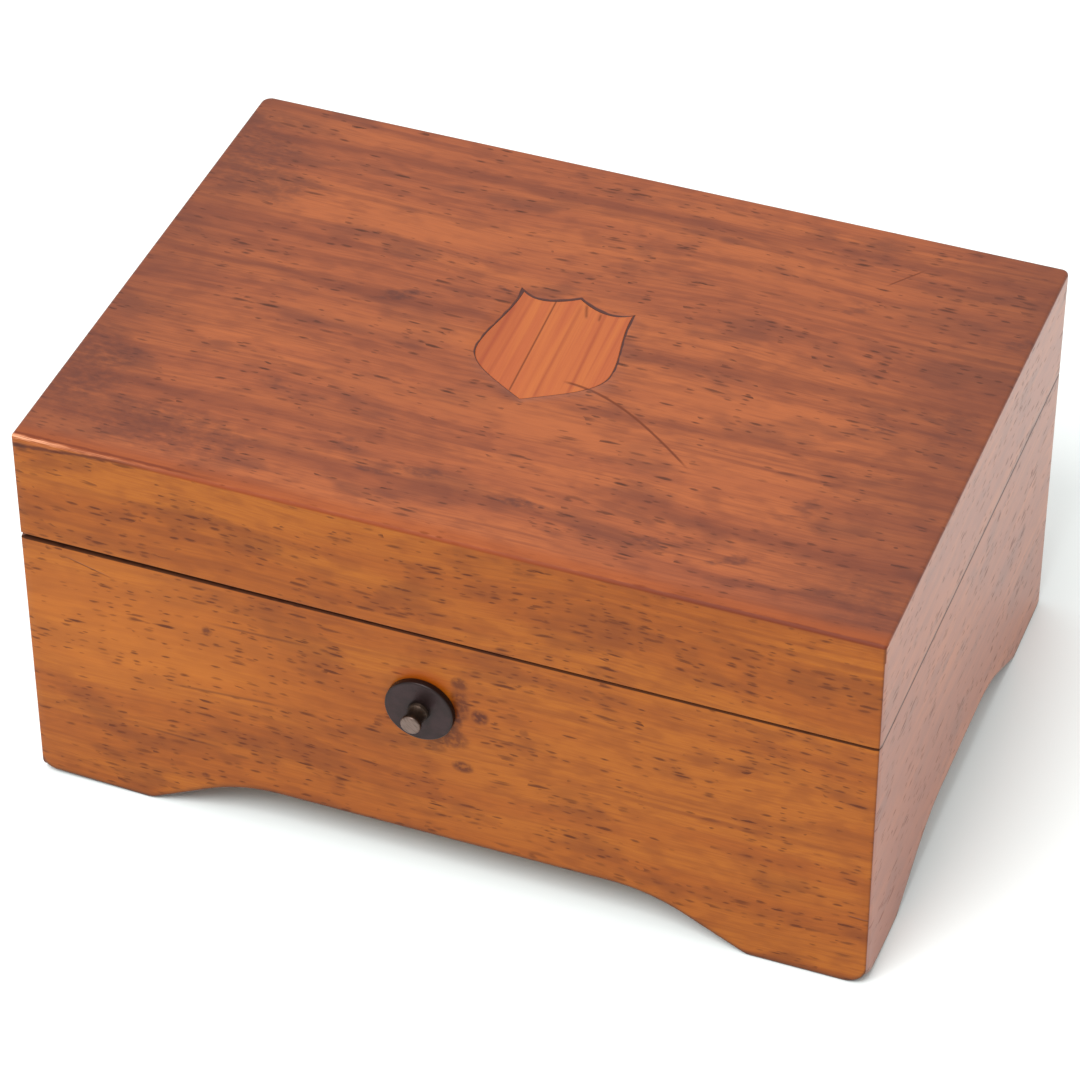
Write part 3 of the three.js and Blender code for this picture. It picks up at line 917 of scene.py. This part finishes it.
body_board("body_front", 0, lower_edge(HALF_LENGTH, FRONT_FOOT, LEFT_WEAR, RIGHT_WEAR, SOLE_LIFT),
           steady(SOLE_ROUND), front_varnish)
body_board("body_right", 1, lower_edge(HALF_DEPTH, SIDE_FOOT, RIGHT_WEAR, BACK_WEAR),
           worn_sole(HALF_DEPTH, SOLE_WEAR), end_varnish)
body_board("body_back", 2, lower_edge(HALF_LENGTH, FRONT_FOOT, BACK_WEAR, BACK_WEAR),
           steady(SOLE_ROUND), back_varnish)
body_board("body_left", 3, lower_edge(HALF_DEPTH, SIDE_FOOT, BACK_WEAR, LEFT_WEAR),
           steady(SOLE_ROUND), end_varnish)
lid_board("lid_front", 0, lid_lift(HALF_LENGTH, 1), front_varnish)
lid_board("lid_right", 1, steady(0.0), end_varnish)
lid_board("lid_back", 2, steady(0.0), back_varnish)
lid_board("lid_left", 3, lid_lift(HALF_DEPTH, -1), end_varnish)

# %% [markdown]
# The shield's outline has a crest between two hollows, horns at the top corners, waisted flanks
# and a point towards the front. It is a closed line about its own centre, read as a distance
# from there in every direction, so that the lid's top can be ruled straight from the edge of the
# recess to the edge of the lid.

# %% Outlines seen from above
CREST, HORN, DIP, BULGE, POINT = (v * MM for v in (12.1, 11.0, 10.0, -2.6, -12.2))
CURVE_STEPS = 24
EVEN_STEP = 0.75
CORNER_SPREAD = 1.4
TINY = 1e-9
SHARP = 0.02 * MM
SHIELD_HALF_TOP = 8.2 * MM
SHIELD_Y = shield_high.y - CREST


def curve(*controls):
    """Points of a Bezier curve of any degree, without its last point."""
    share = np.linspace(0, 1, CURVE_STEPS, endpoint=False)[:, None]
    points = [np.array(c, float)[None, :] * np.ones_like(share) for c in controls]
    while len(points) > 1:
        points = [a * (1 - share) + b * share for a, b in zip(points, points[1:])]
    return points[0]


def shield_line():
    """Right half from the point up to the crest, then its mirror image back down."""
    dip = 2 * DIP - (CREST + HORN) / 2
    flank = (HORN - BULGE) / 3
    tail = (BULGE - POINT) / 2.4
    right = np.concatenate([
        curve((0, POINT), (0.64 * SHIELD_HALF, POINT + 0.95 * tail), (SHIELD_HALF, BULGE - tail),
              (SHIELD_HALF, BULGE)),
        curve((SHIELD_HALF, BULGE), (SHIELD_HALF, BULGE + flank),
              (SHIELD_HALF_TOP, HORN - 1.3 * flank), (SHIELD_HALF_TOP, HORN)),
        curve((SHIELD_HALF_TOP, HORN), (0.62 * SHIELD_HALF_TOP, dip), (0, CREST)),
        [[0, CREST]]])
    left = right[-2:0:-1] * [-1, 1]
    return np.concatenate([right, left])


def lid_radius(angles, inset):
    """Distance from the shield's centre to the lid's rounded outline, drawn in by an inset."""
    back = np.where(np.cos(angles) > 0, BACK_RIGHT_CORNER, BACK_LEFT_CORNER)
    corner = np.where(np.sin(angles) > 0, back, FRONT_CORNER)
    cx, cy = SHIELD_X, SHIELD_Y - CENTRE_Y
    half = np.array([HALF_LENGTH - inset, HALF_DEPTH - inset])
    radius = np.maximum(corner - inset, SHARP)
    ux, uy = np.cos(angles), np.sin(angles)
    to_x = (half[0] * np.sign(ux) - cx) / np.where(np.abs(ux) < TINY, TINY, ux)
    to_y = (half[1] * np.sign(uy) - cy) / np.where(np.abs(uy) < TINY, TINY, uy)
    flat = np.minimum(np.abs(to_x), np.abs(to_y))
    px, py = cx + flat * ux, cy + flat * uy
    qx, qy = np.sign(px) * (half[0] - radius) - cx, np.sign(py) * (half[1] - radius) - cy
    reach = ux * qx + uy * qy
    root = np.sqrt(np.clip(reach ** 2 - (qx ** 2 + qy ** 2 - radius ** 2), 0, None))
    in_corner = (np.abs(px) > half[0] - radius) & (np.abs(py) > half[1] - radius)
    return np.where(in_corner, reach + root, flat)


def outline_angles():
    """Even directions, the shield's own points and extra ones into the lid's four corners."""
    even = np.radians(np.arange(-180, 180, EVEN_STEP))
    corners = [math.atan2(sy * HALF_DEPTH - SHIELD_Y + CENTRE_Y, sx * HALF_LENGTH - SHIELD_X)
               for sx in (-1, 1) for sy in (-1, 1)]
    spread = np.radians(np.linspace(-CORNER_SPREAD, CORNER_SPREAD, 25))
    near = np.concatenate([corner + spread for corner in corners])
    return np.unique(np.round(np.concatenate([SHIELD_TURNS, even, near]), 6))


def shield_radius():
    """Distance from the shield's centre to its outline in each direction."""
    away = np.hypot(SHIELD_XY[:, 0], SHIELD_XY[:, 1])
    order = np.argsort(SHIELD_TURNS)
    return np.interp(ANGLES, SHIELD_TURNS[order], away[order], period=2 * math.pi)


SHIELD_XY = shield_line()
SHIELD_TURNS = np.arctan2(SHIELD_XY[:, 1], SHIELD_XY[:, 0])
ANGLES = outline_angles()
SHIELD_RADIUS = shield_radius()
print("outline directions:", len(ANGLES))

# %% [markdown]
# Round the shield runs a line of dark filler, as wide as the saw cut was: broad across the
# crest and at the horns, finer down the flanks and almost closed at the point. The filler has
# sunk a little below the varnish, so it is a real groove, marked in the mesh for its colour.

# %% The lid's panel
LID_ROUND = 0.5 * MM
LID_MARGIN = 0.3 * MM
FILLER_SINK = 0.06 * MM
FILLER_LIP = 0.12 * MM
RECESS_PLAY = 0.03 * MM
RECESS_BELOW = 0.1 * MM
HUB = 0.2 * MM
UNDER_MARGIN = 8 * MM
TOP_SHARES = (0.04, 0.2, 0.4, 0.6, 0.8, 0.94, 1.0)


def filler_width():
    """Width of the dark line in each direction: wide above, medium at the flanks, fine below."""
    height = np.sin(ANGLES)
    above = np.clip(height * 2.2 - 0.9, 0, 1)
    below = np.clip(-height * 4 - 1.2, 0, 1)
    wobble = 0.5 + 0.5 * np.sin(ANGLES * 23 + 1.3) * np.sin(ANGLES * 9 + 0.4)
    horn = np.exp(-((ANGLES - 2.22) / 0.06) ** 2)
    flank = 0.14 + 0.16 * wobble + 0.26 * above
    return (flank * (1 - below) + 0.09 * below + 0.5 * horn) * MM


def flat_ring(radius, height):
    """A level ring about the shield's centre from its radius in every direction."""
    radius = np.broadcast_to(radius, ANGLES.shape)
    return np.stack([SHIELD_X + radius * np.cos(ANGLES), SHIELD_Y + radius * np.sin(ANGLES),
                     np.full_like(ANGLES, height)], axis=-1)


def lid_panel():
    """The panel from the floor of the recess up its wall, over the filler, across the top, round
    the edge and back below. The rings past the edge take the finish of the side they lie on."""
    gap = SHIELD_RADIUS + filler_width()
    floor = TOP - SHIELD_THICK - RECESS_BELOW
    rings = [
        flat_ring(HUB, floor),
        flat_ring(SHIELD_RADIUS + RECESS_PLAY, floor),
        flat_ring(SHIELD_RADIUS + RECESS_PLAY, TOP - FILLER_SINK),
        flat_ring(gap, TOP - FILLER_SINK),
        flat_ring(gap + FILLER_LIP / 4, TOP - FILLER_SINK * 5 / 6),
        flat_ring(gap + FILLER_LIP, TOP),
    ]
    inner, outer = gap + FILLER_LIP, lid_radius(ANGLES, LID_ROUND + LID_MARGIN)
    for share in TOP_SHARES:
        rings.append(flat_ring(inner + (outer - inner) * share, TOP))
    top_rings = len(rings)
    for turn in arc(6):
        inset = LID_ROUND * (1 - math.sin(turn))
        rings.append(flat_ring(lid_radius(ANGLES, inset), TOP - LID_ROUND * (1 - math.cos(turn))))
    rings.append(flat_ring(lid_radius(ANGLES, 0), TOP - LID_ROUND - 0.2 * MM))
    rings.append(flat_ring(lid_radius(ANGLES, 0), PANEL_UNDERSIDE))
    rings.append(flat_ring(lid_radius(ANGLES, UNDER_MARGIN), PANEL_UNDERSIDE))
    rings.append(flat_ring(HUB, PANEL_UNDERSIDE))
    rings = np.array(rings)
    past_x = np.abs(rings[-3, :, 0]) - HALF_LENGTH
    past_y = np.abs(rings[-3, :, 1] - CENTRE_Y) - HALF_DEPTH
    behind = rings[-3, :, 1] > CENTRE_Y
    sides = np.where(past_x > past_y, 2, np.where(behind, 3, 1))
    slots = np.zeros((len(rings) - 1, len(ANGLES)), int)
    slots[top_rings + 5:] = sides
    materials = [lid_top_varnish, front_varnish, end_varnish, back_varnish]
    piece = ring_mesh("lid_panel", rings, materials, slots)
    filler = np.zeros((len(rings), len(ANGLES)))
    filler[:4] = 1
    filler[4] = 0.6
    mark_points(piece, "filler", filler)
    return piece


dress(lid_panel(), "lid_panel")

# %% [markdown]
# The shield lies in its recess, a hair below the varnish, and its edge is finely eased.

# %% The shield itself
SHIELD_EASE = 0.08 * MM
SHIELD_BELOW = 0.02 * MM


def shield_piece():
    """The plate: rings from the middle of its top out to its outline and down to its underside."""
    high, low = TOP - SHIELD_BELOW, TOP - SHIELD_THICK
    rings = [flat_ring(HUB, high)]
    for share in (0.3, 0.6, 0.9, 1.0):
        rings.append(flat_ring((SHIELD_RADIUS - SHIELD_EASE) * share, high))
    rings.append(flat_ring(SHIELD_RADIUS, high - SHIELD_EASE))
    rings.append(flat_ring(SHIELD_RADIUS, low))
    rings.append(flat_ring(HUB, low))
    return ring_mesh("shield_inlay", np.array(rings), [shield_varnish])


dress(shield_piece(), "shield_inlay")

# %% [markdown]
# The metal is turned work: a profile of radius and reach, carried round a level axis that points
# out of the front. The disc's rim is eased. The stem has a short collar at the disc, a thinner
# neck and a head that wear has made slightly domed.

# %% Turned metal
TURN_STEPS = 96
METAL_SMOOTH = 50
DISC_EASE = 0.22 * MM
HOLE_PLAY = 0.15 * MM
COLLAR = 0.5 * MM
NECK_WAIST = 0.25 * MM
HEAD = 1.2 * MM
HEAD_ROUND = 0.3 * MM


def turned_rings(profile):
    """Circles of each radius about the stem's axis, at each reach out of the front face."""
    around = np.linspace(0, 2 * math.pi, TURN_STEPS, endpoint=False)[None, :]
    radius, reach = np.array(profile, float).T[:, :, None]
    return np.stack([STEM_X + radius * np.cos(around),
                     np.broadcast_to(FRONT - reach, (len(radius), TURN_STEPS)),
                     STEM_Z + radius * np.sin(around)], axis=-1)


def disc_profile():
    """Out of the stem's hole, across the face, round the rim and back along the underside."""
    rim = [(DISC_RADIUS - DISC_EASE * (1 - math.sin(t)), DISC_FACE - DISC_EASE * (1 - math.cos(t)))
           for t in arc(4)]
    face = [(STEM_RADIUS - 0.2 * MM, DISC_FACE - 0.1 * MM), (STEM_RADIUS + HOLE_PLAY, DISC_FACE)]
    face += [(DISC_RADIUS * share, DISC_FACE) for share in (0.5, 0.75, 0.92)]
    back = [(DISC_RADIUS, 0.1 * MM), (DISC_RADIUS - 0.1 * MM, 0), (STEM_RADIUS - 0.2 * MM, 0)]
    return face + rim + back


def stem_profile():
    """From the inner face of the board through the disc: shank, collar, neck, head and dome."""
    radius, neck = STEM_RADIUS, STEM_RADIUS - NECK_WAIST
    collar = DISC_FACE + COLLAR
    profile = [(0.02 * MM, -BOARD), (radius - 0.1 * MM, -BOARD), (radius, -BOARD + 0.1 * MM),
               (radius, collar - 0.12 * MM), (radius - 0.08 * MM, collar),
               (neck, collar + 0.2 * MM), (neck, STEM_TIP - HEAD),
               (radius - 0.05 * MM, STEM_TIP - 0.85 * MM)]
    profile += [(radius - HEAD_ROUND * (1 - math.cos(t)),
                 STEM_TIP - HEAD_ROUND * (1 - math.sin(t)) - 0.05 * MM) for t in arc(4)]
    return profile + [(radius * 0.5, STEM_TIP - 0.01 * MM), (0.02 * MM, STEM_TIP)]


def turned_piece(name, profile, material):
    """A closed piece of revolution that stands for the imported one."""
    rings = turned_rings(profile)
    dress(ring_mesh(name, rings, [material], smooth_angle=METAL_SMOOTH), name)


turned_piece("stem_disc", disc_profile(), disc_metal)
turned_piece("stem", stem_profile(), stem_steel)

# %% [markdown]
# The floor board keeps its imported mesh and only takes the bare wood.

# %% The floor of the box
floor_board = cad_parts["bottom_board"]
floor_board.data.materials.clear()
floor_board.data.materials.append(bare_floor_board)

# %% [markdown]
# A plain pale table and soft light: a large panel overhead to the left, a smaller and brighter
# one above the front, and an even white surround that fills the shadows.

# %% Table and light
TABLE_SIZE = 3.0
TABLE_DROP = 0.03 * MM
TABLE_PALE = paint(241, 247, 246)
TABLE_DULL = paint(238, 245, 244)
SURROUND = 0.78
LIGHT_AIM = (0, 0, 0.03)


def table_top():
    """One flat square just below the feet."""
    finish = Finish("pale_table", TABLE_PALE)
    x, y, z = finish.place()
    tone = finish.noise(x, y, (90, 90))
    finish.coat(tone * 0.5, TABLE_DULL)
    half, level = TABLE_SIZE / 2, -TABLE_DROP
    mesh = bpy.data.meshes.new("table")
    mesh.from_pydata([(-half, -half, level), (half, -half, level), (half, half, level),
                      (-half, half, level)], [], [(0, 1, 2, 3)])
    mesh.materials.append(finish.surface(0.6))
    added("table", mesh)


def soft_panel(name, place, size, power):
    """A square area light at a place, turned to face the box."""
    light = bpy.data.lights.new(name, "AREA")
    light.shape = "SQUARE"
    light.size = size
    light.energy = power
    lamp = added(name, light)
    turn = (Vector(LIGHT_AIM) - Vector(place)).to_track_quat("-Z", "Y")
    lamp.matrix_world = Matrix.Translation(Vector(place)) @ turn.to_matrix().to_4x4()
    print("light", name, power, "watts")


def surround(strength):
    """Even white light from every side."""
    world = bpy.data.worlds.new("surround")
    world.use_nodes = True
    background = world.node_tree.nodes["Background"].inputs
    background[0].default_value = (1, 1, 1, 1)
    background[1].default_value = strength
    bpy.context.scene.world = world


table_top()
surround(SURROUND)
soft_panel("overhead", (-0.2, -0.15, 1.0), 1.3, 4.5)
soft_panel("front_fill", (-0.1, -0.6, 0.9), 0.5, 8.1)
bpy.context.scene.view_settings.view_transform = "Standard"
bpy.context.scene.view_settings.look = "None"
